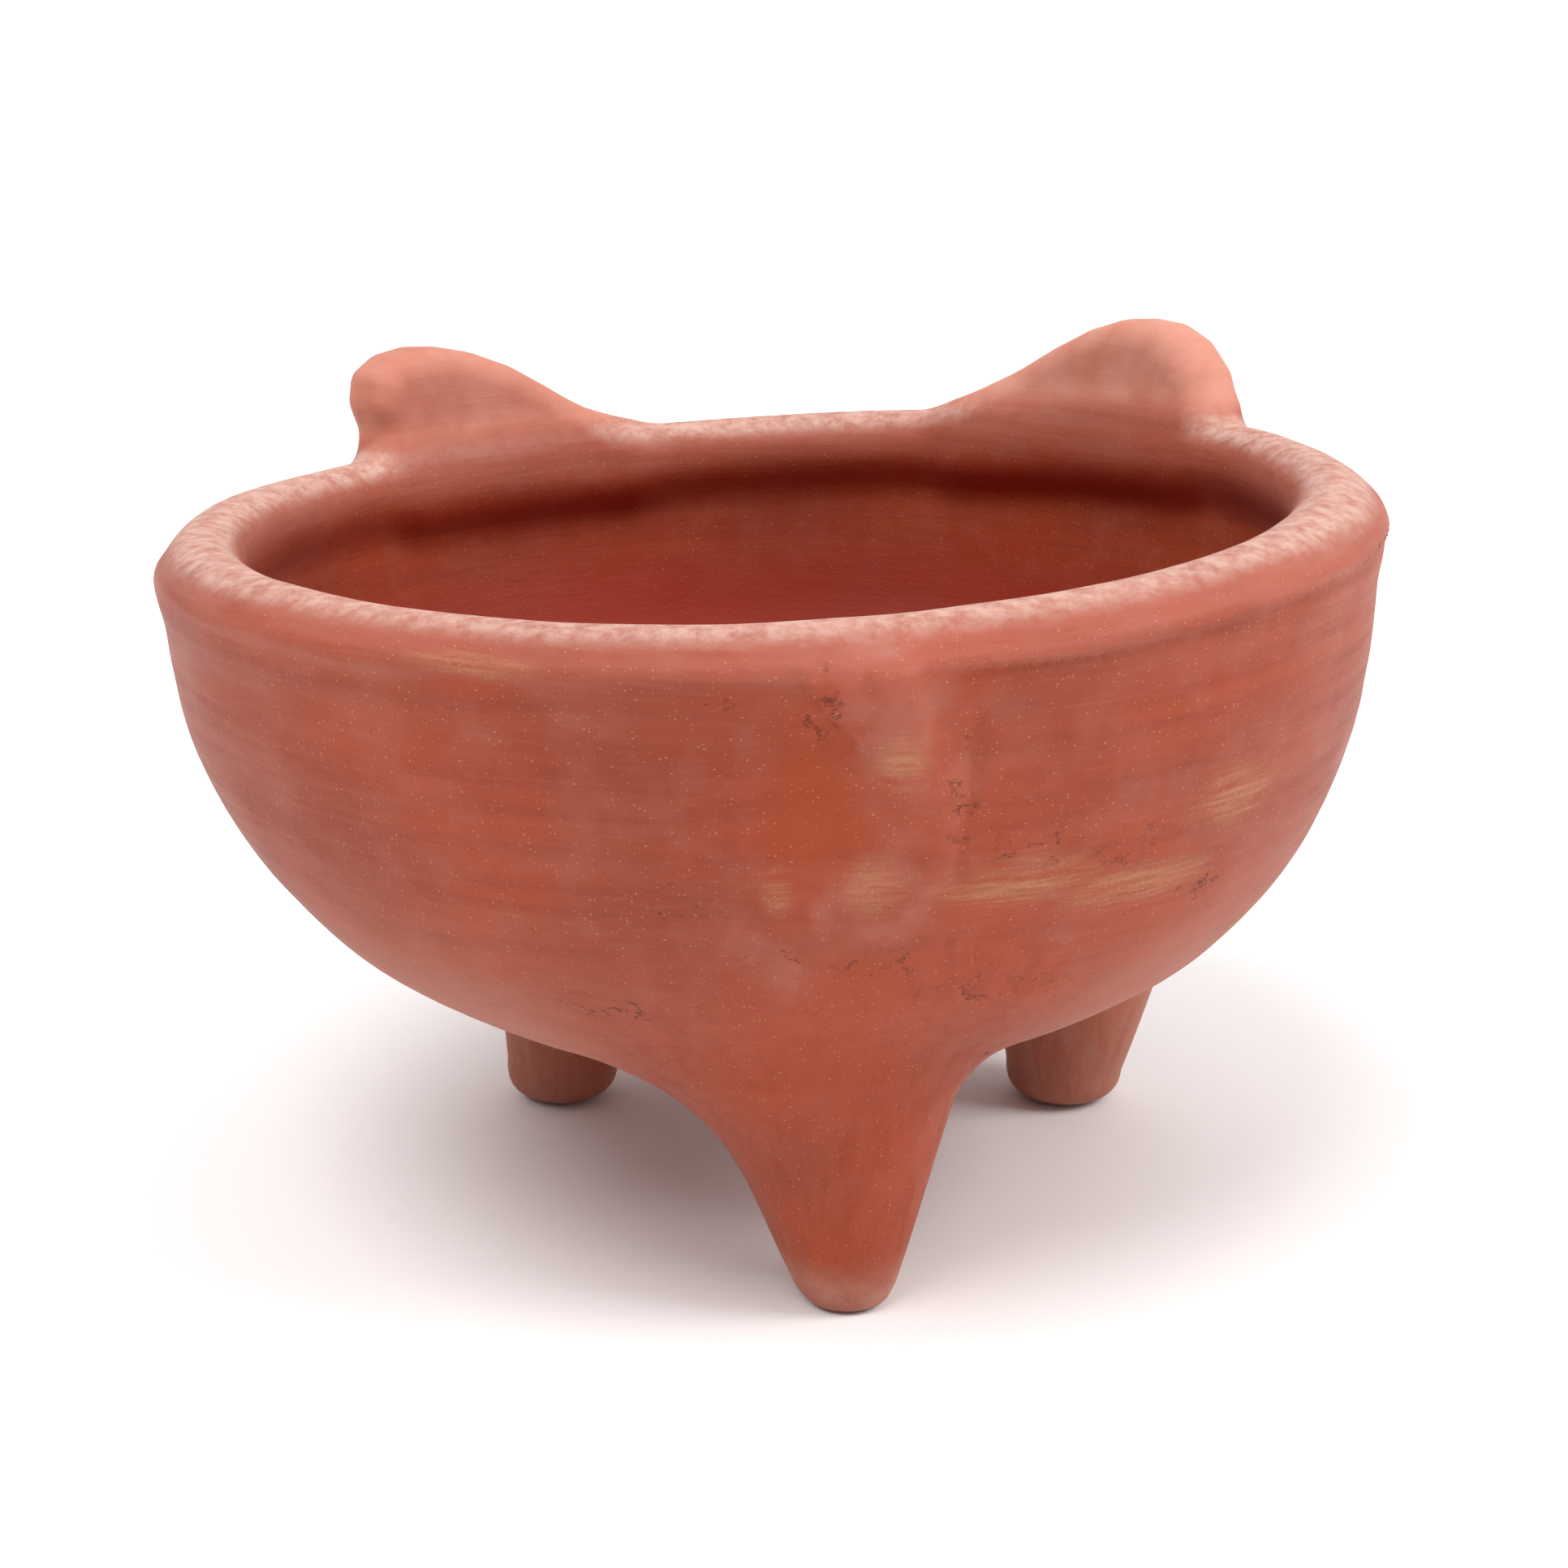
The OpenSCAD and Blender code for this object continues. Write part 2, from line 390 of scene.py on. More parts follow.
def read_table(table, r, z):
    """The table's value at any radius and height, blended between its four nearest entries."""
    i = np.clip(r / TABLE_STEP, 0, len(TABLE_R) - 1.001)
    j = np.clip((z - TABLE_Z[0]) / TABLE_STEP, 0, len(TABLE_Z) - 1.001)
    i0 = i.astype(int)
    j0 = j.astype(int)
    u = i - i0
    v = j - j0
    near = table[i0, j0] * (1 - v) + table[i0, j0 + 1] * v
    far = table[i0 + 1, j0] * (1 - v) + table[i0 + 1, j0 + 1] * v
    return near * (1 - u) + far * u


# %% [markdown]
# ## The rim
# A last coil is rolled over the top of the wall. It stands proud of the wall inside, and outside its lower
# edge is a small ledge, crisp on one side and smeared on the other. The rim isn't level: its height and
# its radius wander round the bowl, so both are short sums of waves.

# %% Where a point lies round the bowl
# The left side of the bowl is flatter than the rest by the first number, and low down by both together.
LEFT_FLATTER = 0.65
LEFT_FLATTER_LOW = 0.75


class Place:
    """Where a point is round the bowl, and how far above and beyond the middle of the rim coil."""

    def __init__(self, p):
        self.p = p
        x = p[:, 0] - axis_x - LEAN * (rim_z - p[:, 2])
        y = p[:, 1]
        self.z = p[:, 2]
        self.turn = np.arctan2(y, x)
        leftward = np.maximum(-np.cos(self.turn), 0.0) ** 1.5
        flatter = leftward * (LEFT_FLATTER + LEFT_FLATTER_LOW * ease(60.0 - self.z, 0.0, 28.0))
        self.r = np.hypot(x, y) + flatter
        t = self.turn
        height = rim_z + RIM_RISE_RIGHT * np.cos(t) - RIM_RISE_FRONT * np.sin(t)
        self.rim_height = height + 0.73 * np.cos(2 * t) + 0.28 * np.sin(2 * t)
        self.above = self.z - self.rim_height
        self.beyond = self.r - (rim_radius - 0.25 * np.cos(2 * t) - 0.66 * np.sin(t))
        front = t + math.pi / 2
        front = np.where(front > math.pi, front - 2 * math.pi, front)
        self.arc = front * wall_radius


# %% The tail strip and its hollow
# The tail's middle line, from the rim down: millimetres round the wall from the front, and height.
TAIL_PATH = np.array([(10.0, 76.0), (11.4, 69.0), (13.6, 63.5), (14.2, 57.0),
                      (11.0, 51.6), (4.5, 48.6), (0.0, 45.6)])
TAIL_WIDTH = 5.2
TAIL_RELIEF = 1.6
PATCH_RELIEF = 1.13
HOLLOW_DEPTH = 1.7
CREASE_DEPTH = 0.4


def spot(place, arc, z, half_arc, half_z):
    """1 in the middle of a soft oval on the wall, and 0 beyond its edge."""
    return 1.0 - ease(np.hypot((place.arc - arc) / half_arc, (place.z - z) / half_z), 0.2, 1.0)


def tail_distance(place):
    """Distance on the wall's surface from the tail's middle line, and how far along it the point is."""
    beside = np.maximum(np.abs(place.arc - 7.0) - 7.5, 0.0)
    over = np.maximum(np.abs(place.z - 61.0) - 16.0, 0.0)
    gap = np.hypot(beside, over)
    along = np.zeros(len(gap))
    near = gap < 12.0
    if near.any():
        gap[near], along[near] = tail_line(place.arc[near], place.z[near])
    return gap, along


def tail_line(arc, z):
    """The same, for points near the tail."""
    flat = np.stack([arc, z], axis=1)
    gap = np.full(len(flat), 1e9)
    along = np.zeros(len(flat))
    for k, (a, b) in enumerate(zip(TAIL_PATH[:-1], TAIL_PATH[1:])):
        direction = b - a
        t = np.clip((flat - a) @ direction / (direction @ direction), 0.0, 1.0)
        d = np.linalg.norm(flat - a - t[:, None] * direction, axis=1)
        closer = d < gap
        gap = np.where(closer, d, gap)
        along = np.where(closer, k + t, along)
    return gap, along / (len(TAIL_PATH) - 1)


def tail_relief(place):
    """How far the tail's clay stands out from the wall, less the hollow and the crease beside it."""
    gap, along = tail_distance(place)
    crown = 1.0 - ease(gap, 0.6, TAIL_WIDTH)
    height = TAIL_RELIEF * (1.0 - 0.6 * ease(along, 0.3, 0.95)) * crown * (1.0 - ease(along, 0.93, 1.0))
    ledge_arc = 2.0 + 0.72 * np.clip(75.0 - place.z, 0.0, 9.0)
    torn = 0.55 * burnish_lines(place.p * 2.5) + 0.3 * skin_grain(place.p)
    edge = ease(place.arc - ledge_arc + torn, -0.25, 0.25)
    upper = ease(place.z, 64.0, 69.0)
    patch = PATCH_RELIEF * edge * (1.0 - ease(place.arc, 10.0, 19.0)) * upper
    top = np.maximum(height, patch)
    hollow = HOLLOW_DEPTH * spot(place, 3.4, 61.5, 6.8, 12.0)
    wavering = place.arc - 18.0 + 1.2 * thumb_lumps(place.p)
    crease = CREASE_DEPTH * (1.0 - ease(np.abs(wavering), 0.1, 1.3))
    return top - hollow - crease * ease(place.z, 50.0, 56.0) * (1.0 - ease(place.z, 66.0, 72.0))


# %% The bowl without its legs and ears
BAND_RELIEF = 0.64


def rim_band(place):
    """1 on the rim's band and 0 below it: a crisp step to the right of the tail, smeared to its left."""
    right = ease(place.arc, 8.0, 22.0) * (1.0 - ease(place.arc, 95.0, 130.0))
    soft = 0.14 + 0.9 * (1.0 - right)
    wander = 0.7 * broad_lumps(place.p * 1.6) * (1.0 - 0.6 * right)
    return ease(place.above - 0.15 - wander, -soft, soft)


def rim_ledge(place):
    """How proud the rim's band stands on the outside."""
    band = rim_band(place)
    fading = 1.0 - ease(place.above, 1.6, 4.4)
    outside = ease(place.beyond, 0.5, 2.5)
    behind = ease(np.abs(place.arc), 110.0, 150.0)
    leftward = ease(-place.arc, 50.0, 85.0)
    return BAND_RELIEF * band * fading * outside * (1.0 - 0.7 * behind) * (1.0 - 0.85 * leftward)


def hand_marks(place, strokes=1.0):
    """Lumps from the fingers and shallow dips from burnishing with a pebble."""
    p = place.p
    marks = 0.2 * broad_lumps(p) + 0.09 * thumb_lumps(p)
    marks += strokes * (0.055 * burnish_dips(p) + 0.018 * burnish_lines(p))
    return marks + 0.008 * skin_grain(p)


def bowl(place, detail):
    """The field of the bowl alone; detail adds the hand's marks to it."""
    outer = read_table(outer_table, place.r, place.z)
    inner = read_table(inner_table, place.r, place.z)
    wall = trim(outer, -inner, 1.0)
    wall = trim(wall, place.above, 1.5)
    lip = np.hypot(place.beyond, place.above) - lip_radius
    clay = smear(wall, lip, 2.6)
    outside = ease(inner, 1.5, 4.0)
    tail = outside * tail_relief(place) * (1.0 - ease(place.above, 0.5, 3.5))
    clay = clay - trim(np.maximum(tail, 0.0), rim_ledge(place), 0.7) - np.minimum(tail, 0.0)
    if detail:
        clay = clay - hand_marks(place)
    return clay


# %% [markdown]
# ## Legs
# Each leg is a short tapered roll, pressed on under the bowl. Its foot was tapped flat while it was soft,
# so the corner round the sole is rounded. A pad of soft clay is pressed round the root, and on the front
# leg it is drawn out much further on one side.

# %% The three legs
# Leg clay never comes closer than this to the bowl's inner skin.
HALF_WALL = 4.0
PAD_RISE = 21.5
feet = {mount["name"]: np.array(mount["pos_m"]) / MM for mount in frame["record"]["mounts"]}


class Leg:
    """The foot is the frame's foot mount, shifted a little, and the lean leads from it to the root."""

    def __init__(self, name, shift, lean, foot_radius, root_radius, reach_left, reach_right, pad_radius):
        self.name = name
        self.foot = feet[name.replace("leg", "foot")] + np.array(shift)
        self.root = self.foot + np.array(lean)
        self.foot_radius = foot_radius
        self.root_radius = root_radius
        self.reach_left = reach_left
        self.reach_right = reach_right
        self.pad_radius = pad_radius
        collar_lo, collar_hi = node_box(name + "_collar")
        middle = (collar_lo + collar_hi) / 2
        self.pad = np.array([middle[0], middle[1], collar_lo[2] + PAD_RISE])

    def clay(self, place, detail):
        shape = roll(place.p, self.foot, self.root, self.foot_radius, self.root_radius)
        if detail:
            shape = shape - 0.3 * hand_marks(place, strokes=0.0) - 0.1 * upright_dips(place.p)
        return trim(shape, -place.z, 2.6)

    def reach(self, place):
        """How far the root is smeared into the bowl, which differs from side to side."""
        side = ease(place.p[:, 0] - self.root[0], -9.0, 9.0)
        return self.reach_left + (self.reach_right - self.reach_left) * side

    def ball(self, place):
        """Positive inside the ball round the root."""
        return self.pad_radius - np.linalg.norm(place.p - self.pad, axis=1)

    def cover(self, place):
        """Positive where soft clay is pressed on round the root, which is never inside the bowl."""
        return np.minimum(self.ball(place), read_table(inner_table, place.r, place.z) - HALF_WALL)


legs = [
    Leg("front_leg", (1.7, -1.2, 1.0), (-1.6, 3.5, 25.0), 4.85, 14.2, 12.0, 5.0, 25.0),
    Leg("left_leg", (-0.43, -0.15, 4.0), (3.3, -0.5, 23.0), 6.6, 11.4, 8.5, 7.0, 23.0),
    Leg("right_leg", (-1.27, -0.65, 4.0), (1.8, 1.1, 24.0), 6.9, 12.9, 7.0, 8.5, 23.0),
]

# %% [markdown]
# ## Ears
# An ear is a flattened wad of clay that stands on the rim and leans outwards. Its outline is drawn with a
# few corners, in degrees round the rim and millimetres above the rim coil's middle, and a rounded edge runs
# all round it. Its root is smeared into the rim on both faces.

# %% The two ears
# Millimetres round the rim for one degree.
DEGREE = math.radians(1) * 60.45
EAR_LEAN = math.radians(14)
EDGE_ROUND = 3.0
SLEEVE_RADIUS = 6.8


def rim_arc(place):
    """Millimetres round the rim, from the right-hand side towards the back."""
    return place.turn * math.degrees(1) * DEGREE


def outline_distance(flat, corners):
    """Distance to a closed outline, negative inside it."""
    gap = np.full(len(flat), 1e9)
    inside = np.zeros(len(flat), bool)
    for a, b in zip(corners, np.roll(corners, -1, axis=0)):
        gap = np.minimum(gap, roll(flat, a, b, 0.0, 0.0))
        if a[1] != b[1]:
            level = (a[1] > flat[:, 1]) != (b[1] > flat[:, 1])
            inside ^= level & (flat[:, 0] < a[0] + (flat[:, 1] - a[1]) / (b[1] - a[1]) * (b[0] - a[0]))
    return np.where(inside, -gap, gap)


class Ear:
    """corners are the outline before its edge is rounded, and span is where its wad starts and ends."""

    def __init__(self, name, corners, span, thick):
        self.name = name
        self.corners = np.array([(turn * DEGREE, height) for turn, height in corners])
        self.span = [turn * DEGREE for turn in span]
        self.thick = thick

    def clay(self, place, detail):
        outline = outline_distance(np.stack([rim_arc(place), place.above], axis=1), self.corners)
        lean = place.beyond - 0.2 - place.above * math.tan(EAR_LEAN)
        across = lean * math.cos(EAR_LEAN)
        if detail:
            outline = outline - 0.25 * broad_lumps(place.p)
            across = across + 0.3 * broad_lumps(place.p + 40.0)
        past = np.maximum(outline, 0.0)
        flat_part = self.thick - EDGE_ROUND
        shape = np.hypot(past, np.maximum(np.abs(across) - flat_part, 0.0)) - EDGE_ROUND
        shape = np.where(np.abs(across) < flat_part, np.maximum(shape, np.abs(across) - self.thick), shape)
        return np.where(place.above > -8.0, shape, np.maximum(shape, 4.0))

    def cover(self, place):
        """Positive inside the sleeve of soft clay pressed round the ear's root."""
        arc = rim_arc(place)
        sleeve = SLEEVE_RADIUS - np.hypot(place.beyond, place.above - 1.0)
        ends = np.minimum(arc - self.span[0], self.span[1] - arc)
        return np.minimum(sleeve, ends)


ears = [
    Ear("left_ear", [(137.9, 0.0), (137.4, 7.6), (138.0, 10.4), (137.4, 12.1), (135.4, 13.2), (132.4, 13.6),
                     (129.2, 13.3), (125.8, 12.4), (122.0, 10.6), (118.0, 7.8), (113.5, 4.4), (109.0, 1.6),
                     (108.0, 0.0)], (102, 151), 3.8),
    Ear("right_ear", [(63.5, 0.0), (64.0, 2.6), (60.5, 4.8), (56.8, 6.8), (52.6, 9.4), (48.6, 11.5),
                      (45.4, 12.5), (42.6, 12.6), (39.6, 12.2), (36.6, 10.8), (33.6, 8.2), (31.6, 5.2),
                      (31.2, 0.0)], (23, 71), 3.8),
]

# %% [markdown]
# ## Where one piece ends and the next begins
# On the real bowl the joins are rubbed away, so the skin runs on over them. Here two neighbours share the
# same skin along their join, and past it each one sinks slowly under the other. There is no gap and no
# groove at the join, and every piece is still a whole closed lump of clay.

# %% Sinking under a neighbour
SINK = 0.12
SINK_WIDTH = 3.0
OVERLAP = 1.6
# How deep each pressed-on piece goes into the clay under it.
TAIL_ROOT = 2.2
COLLAR_ROOT = 2.0
WAD_ROOT = 1.8


def sink(inside):
    """How far a skin has sunk where it is this deep inside its neighbour's ground."""
    return SINK * np.clip(inside, 0.0, SINK_WIDTH) ** 2


def cut(clay, past):
    """Ends a piece at a join: past it the skin sinks, and the piece stops OVERLAP beyond it."""
    return np.maximum(clay + sink(past), past - OVERLAP)


def tail_cover(place):
    """Positive where the tail's clay is pressed on."""
    gap, _ = tail_distance(place)
    return np.minimum(TAIL_WIDTH + 0.8 - gap, place.r - outer_radius(place) + 3.4)


def rim_seam(place):
    """Positive above the join under the rim coil, which slopes down towards the inside."""
    return place.above + 0.5 - 0.48 * (place.beyond - 4.4)


SEAM_RISE = 2.5
SEAM_DROP = 1.2
STACK = ["bowl_base", "lower_wall_coil", "middle_wall_coil", "upper_wall_coil"]
seam_heights = []
for below, over in zip(STACK[:-1], STACK[1:]):
    seam_heights.append((node_box(below)[1][2] + node_box(over)[0][2]) / 2 - SEAM_DROP)
print("seams at", [round(z, 1) for z in seam_heights])


def coil_seam(place, height):
    """Positive above the join between two coils, which is higher inside than outside."""
    depth = np.clip(outer_radius(place) - place.r, -2.0, 9.0)
    return place.z - height - SEAM_RISE * depth / wall_thick


def joined(place, plain, detail, low, high):
    """The bowl with its legs or its ears smeared on."""
    clay = plain
    if low:
        outer_side = ease(read_table(inner_table, place.r, place.z), 1.0, HALF_WALL)
        for leg in legs:
            clay = clay + (smear(clay, leg.clay(place, detail), leg.reach(place)) - clay) * outer_side
    if high:
        for ear in ears:
            clay = smear(clay, ear.clay(place, detail), 5.0)
    return clay


def shaped(p, detail, low, high):
    """Where the points are, the plain bowl's field there, and the field with legs or ears smeared on."""
    place = Place(p)
    plain = bowl(place, detail)
    return place, plain, joined(place, plain, detail, low, high)


def covered_bowl(place, detail, low, high):
    """The bowl's own skin, which sinks under collars, wads and tail."""
    plain = bowl(place, detail)
    clay = joined(place, plain, detail, low, high)
    covers = [np.minimum(tail_cover(place), -rim_seam(place))]
    if low:
        covers += [leg.cover(place) for leg in legs]
    if high:
        covers += [ear.cover(place) for ear in ears]
    cover = np.max(covers, axis=0)
    smeared = np.clip(clay - plain, -0.5, 0.0)
    return plain + smeared * (1.0 - ease(cover, 0.0, SINK_WIDTH)) + sink(cover)


# %% The field of each piece
def ring_field(lower, upper, low, high):
    """A coil between two joins; lower or upper may be None at the ends of the stack."""

    def field(p, detail):
        place = Place(p)
        clay = covered_bowl(place, detail, low, high)
        for seam, sign in ((lower, -1.0), (upper, 1.0)):
            if seam is None:
                continue
            past = sign * (rim_seam(place) if seam == "rim" else coil_seam(place, seam))
            clay = cut(clay, past)
        return clay

    return field


def tail_field(p, detail):
    place, _, clay = shaped(p, detail, True, False)
    past = -tail_cover(place)
    under_rim = rim_seam(place)
    collar = legs[0].cover(place)
    skin = clay + sink(past) + sink(under_rim) + sink(collar)
    depth = place.r - outer_radius(place) + TAIL_ROOT
    edges = np.maximum(np.maximum(past, under_rim), collar) - OVERLAP
    return np.maximum(np.maximum(skin, edges), -depth)


def collar_field(leg):
    """The soft clay round a leg's root."""

    def field(p, detail):
        place, plain, clay = shaped(p, detail, True, False)
        solid = cut(clay, -leg.cover(place))
        solid = np.maximum(solid, -(plain + COLLAR_ROOT))
        return np.maximum(solid, -(leg.clay(place, False) + COLLAR_ROOT))

    return field


def leg_field(leg):
    """The leg below its collar, and a thinner end that runs up through it into the bowl."""

    def field(p, detail):
        place, plain, clay = shaped(p, detail, True, False)
        shape = leg.clay(place, False)
        stub = np.maximum(cut(clay, leg.ball(place)), shape - 1.0)
        tenon = np.maximum(shape + 2.2, -(plain + 0.3))
        return np.maximum(np.minimum(stub, tenon), HALF_WALL - read_table(inner_table, place.r, place.z))

    return field


def wad_field(ear):
    """The soft clay round an ear's root."""

    def field(p, detail):
        place, plain, clay = shaped(p, detail, False, True)
        return np.maximum(cut(clay, -ear.cover(place)), -(plain + WAD_ROOT))

    return field


def ear_field(ear):
    """The ear above its wad, and a thinner end that runs down through it to the rim."""

    def field(p, detail):
        place, plain, clay = shaped(p, detail, False, True)
        shape = ear.clay(place, False)
        lobe = np.maximum(cut(clay, ear.cover(place)), shape - 1.6)
        lobe = np.maximum(lobe, -(place.above - 3.0))
        root = np.maximum(shape + 1.2, -(plain + 0.2))
        return np.minimum(lobe, root)

    return field


# %% [markdown]
# ## From field to mesh
# Each piece's field is sampled on a fine grid. Every grid cell that the skin passes through gets one
# point, near the middle of the crossings on its edges, and the four cells round each crossed grid edge
# make one four-sided face. The points are then moved onto the detailed skin, lumps and strokes included.

# %% Sampling the field
STEP = 0.6
BLOCK = 4
BLOCK_REACH = 3.4 * STEP / 0.6 + 0.4
CHUNK = 60000


def in_chunks(field, points, detail):
    """The field's value at many points, a handful at a time."""
    values = np.empty(len(points))
    for start in range(0, len(points), CHUNK):
        values[start:start + CHUNK] = field(points[start:start + CHUNK], detail)
    return values


def sample(field, lo, blocks):
    """Field values on a grid. Blocks that are nowhere near the skin get only one value."""
    where = np.argwhere(np.ones(blocks, bool))
    middles = lo + STEP * (BLOCK * where + (BLOCK - 1) / 2)
    coarse = in_chunks(field, middles, False)
    size = np.array(blocks) * BLOCK
    values = coarse.reshape(blocks)
    for axis in range(3):
        values = values.repeat(BLOCK, axis=axis)
    near = where[np.abs(coarse) < BLOCK_REACH]
    inner = np.argwhere(np.ones((BLOCK,) * 3, bool))
    fine = (near[:, None, :] * BLOCK + inner[None, :, :]).reshape(-1, 3)
    values[tuple(fine.T)] = in_chunks(field, lo + STEP * fine, False)
    return values, size


# %% Nets of points
CORNERS = [(i >> 2 & 1, i >> 1 & 1, i & 1) for i in range(8)]
EDGES = [(a, b) for a in range(8) for b in range(a + 1, 8) if bin(a ^ b).count("1") == 1]
PINCH_ROUNDS = 4
PINCH_FILL = 0.02


def fill_pinches(values):
    """Fills grid squares with clay at two opposite corners only, so that no edge gets four faces."""
    for _ in range(PINCH_ROUNDS):
        for axis in range(3):
            square = np.moveaxis(values, axis, 0)
            a = square[:, :-1, :-1]
            b = square[:, 1:, :-1]
            c = square[:, 1:, 1:]
            d = square[:, :-1, 1:]
            for one, two, other, last in ((a, b, c, d), (b, c, d, a)):
                pinched = (one < 0) & (other < 0) & (two >= 0) & (last >= 0)
                two[pinched] = -PINCH_FILL
    return values


def main_body(points, faces):
    """Leaves out any crumb that isn't joined to the piece."""
    label = np.arange(len(points))
    while True:
        lowest = label[faces].min(axis=1)
        joined_up = label.copy()
        np.minimum.at(joined_up, faces.ravel(), np.repeat(lowest, 4))
        joined_up = joined_up[joined_up]
        if (joined_up == label).all():
            break
        label = joined_up
    kept = faces[label[faces[:, 0]] == np.bincount(label[faces[:, 0]]).argmax()]
    used = np.unique(kept)
    number = np.full(len(points), -1)
    number[used] = np.arange(len(used))
    return points[used], number[kept]


def net(field, lo, hi):
    """Points and four-sided faces along the field's zero surface."""
    blocks = tuple(np.ceil((hi - lo) / STEP / BLOCK).astype(int) + 1)
    values, counts = sample(field, lo, blocks)
    values = fill_pinches(values)
    inside = values < 0
    cells = counts - 1

    def shifted(array, corner):
        i, j, k = corner
        return array[i:i + cells[0], j:j + cells[1], k:k + cells[2]]

    full = sum(shifted(inside, c).astype(np.int8) for c in CORNERS)
    active = (full > 0) & (full < 8)
    where = np.argwhere(active)
    index = np.full(cells, -1, np.int64)
    index[active] = np.arange(len(where))
    corner_values = [shifted(values, c)[active] for c in CORNERS]
    total = np.zeros((len(where), 3))
    crossings = np.zeros(len(where))
    for a, b in EDGES:
        va = corner_values[a]
        vb = corner_values[b]
        crossed = (va < 0) != (vb < 0)
        t = np.where(crossed, va / np.where(crossed, va - vb, 1.0), 0.0)
        spot = np.array(CORNERS[a]) + t[:, None] * (np.array(CORNERS[b]) - np.array(CORNERS[a]))
        total += np.where(crossed[:, None], spot, 0.0)
        crossings += crossed
    points = lo + STEP * (where + total / crossings[:, None])
    faces = []
    for axis in range(3):
        step = np.eye(3, dtype=int)[axis]
        across = np.eye(3, dtype=int)[(axis + 1) % 3]
        upward = np.eye(3, dtype=int)[(axis + 2) % 3]
        first = inside[:counts[0] - step[0], :counts[1] - step[1], :counts[2] - step[2]]
        second = inside[step[0]:, step[1]:, step[2]:]
        crossed = np.argwhere(first != second)
        leaving = first[tuple(crossed.T)]
        ring = [crossed - across - upward, crossed - upward, crossed, crossed - across]
        quad = np.stack([index[tuple(cell.T)] for cell in ring], axis=1)
        quad[~leaving] = quad[~leaving][:, ::-1]
        faces.append(quad)
    return main_body(points, np.vstack(faces))


# %% Settling the points
REACH = 0.05


def slope(field, points, value, detail):
    """Which way is out of the clay at each point, and how steeply the field rises that way."""
    out = np.empty_like(points)
    for axis in range(3):
        shift = np.zeros(3)
        shift[axis] = REACH
        out[:, axis] = (in_chunks(field, points + shift, detail) - value) / REACH
    return out


def settle(field, points, detail, rounds):
    """Moves the points straight onto the skin."""
    value = in_chunks(field, points, detail)
    out = slope(field, points, value, detail)
    size = np.maximum((out * out).sum(axis=1), 0.3)
    for _ in range(rounds):
        move = -(value / size)[:, None] * out
        length = np.linalg.norm(move, axis=1, keepdims=True)
        points = points + move * np.minimum(1.0, STEP / np.maximum(length, 1e-9))
        value = in_chunks(field, points, detail)
    return points, out


def loose_edges(faces):
    """How many edges don't belong to exactly two faces."""
    ends = np.vstack([faces[:, [i, (i + 1) % 4]] for i in range(4)])
    ends.sort(axis=1)
    _, uses = np.unique(ends, axis=0, return_counts=True)
    return int((uses != 2).sum())


# %% [markdown]
# ## Finish that is painted point by point
# Some of the finish belongs to places and not to a pattern: dust and a painted highlight on the crest of
# the rim, pale marks rubbed into the front, belts of fine cracks where the clay dried first. Some of it is
# painted light
# and shade: a darker red inside the bowl, orange with painted shade in the hollows, a paler ridge on the
# tail and paler ears, the right one most. Those amounts are worked out for each point and stored on the
# mesh, and the clay material reads them.

# %% Painted amounts
# Soft ovals on the front wall: where the middle is, round and up, and half the size each way.
CRACK_BELTS = [(-9.5, 52.0, 6, 3.2), (3.7, 45.4, 9, 2.6), (11.5, 44.8, 5, 2.4), (-18.0, 38.5, 9, 2.6),
               (27.0, 56.0, 4, 3.0), (36.0, 54.5, 5.5, 2.8), (17.3, 62.0, 2.2, 8.0), (22.0, 40.5, 14, 2.4),
               (-4.6, 71.5, 2.5, 2.0), (47.0, 48.0, 5, 3.0), (4.5, 71.0, 3, 5.0), (32.0, 27.0, 6, 5.0),
               (22.5, 57.0, 2.0, 7.0)]
RUB_MARKS = [(24.0, 52.5, 12, 4.0), (38.0, 50.0, 14, 3.2), (50.0, 57.0, 9, 4.5), (9.5, 53.5, 4, 4.0),
             (11.6, 66.0, 3.2, 4.5), (0.5, 53.0, 2.2, 3.5), (-26.0, 73.5, 9, 1.6)]


